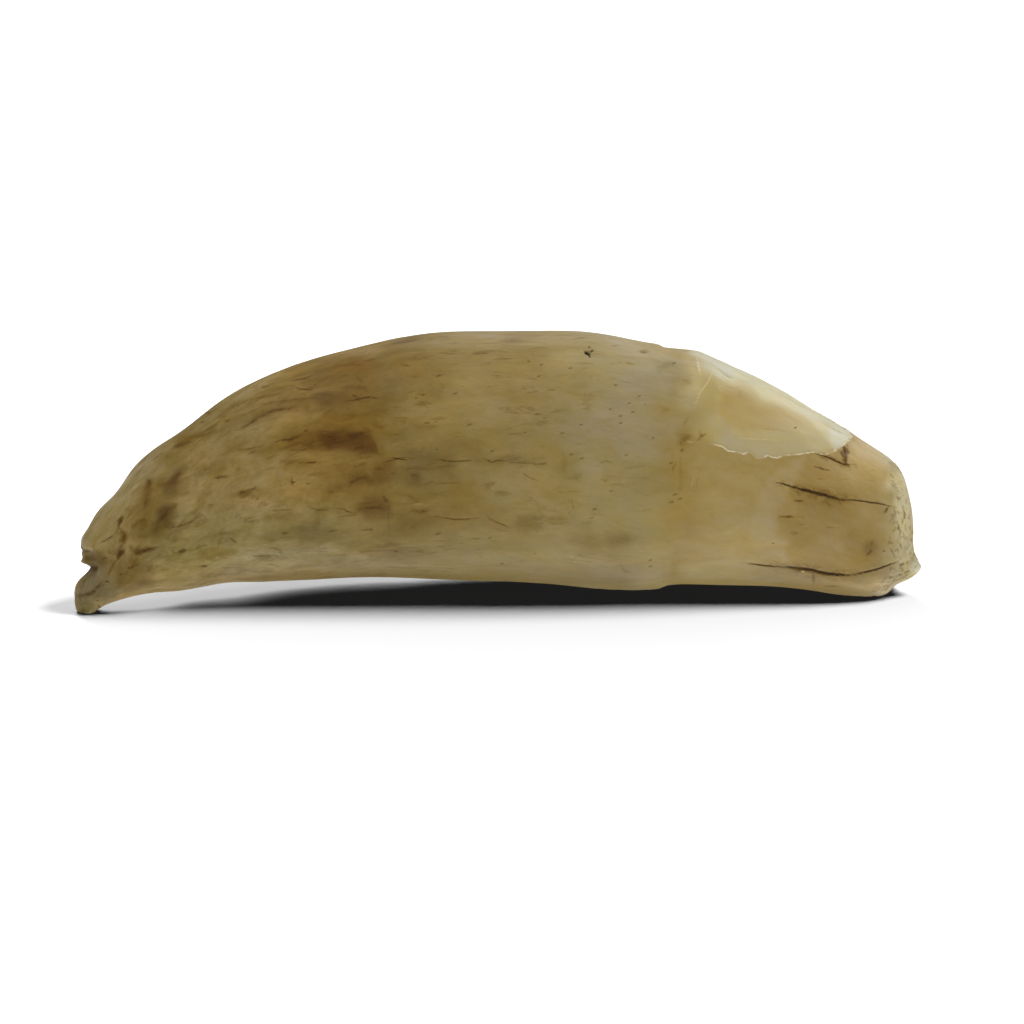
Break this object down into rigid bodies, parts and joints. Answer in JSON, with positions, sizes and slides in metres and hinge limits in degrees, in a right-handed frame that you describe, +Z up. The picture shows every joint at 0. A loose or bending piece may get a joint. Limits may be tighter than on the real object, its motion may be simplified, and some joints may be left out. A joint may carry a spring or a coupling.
{
  "type": "whale tooth",
  "caption": "Curved, solid old sperm whale tooth lying on its concave edge, with a broken narrow root, a worn blunt crown, a flaked patch and age cracks.",
  "frame": {"origin": "under the middle of the box round the tooth, on the surface that it rests on", "axes": "+X along the tooth from the broken root to the worn crown, +Y away from the side that the picture shows, +Z up"},
  "size_m": [0.1474, 0.0428, 0.0448],
  "materials": {
    "old_ivory": "satin"
  },
  "bodies": {
    "root": {"whale_tooth": "old_ivory"}
  },
  "joints": []
}
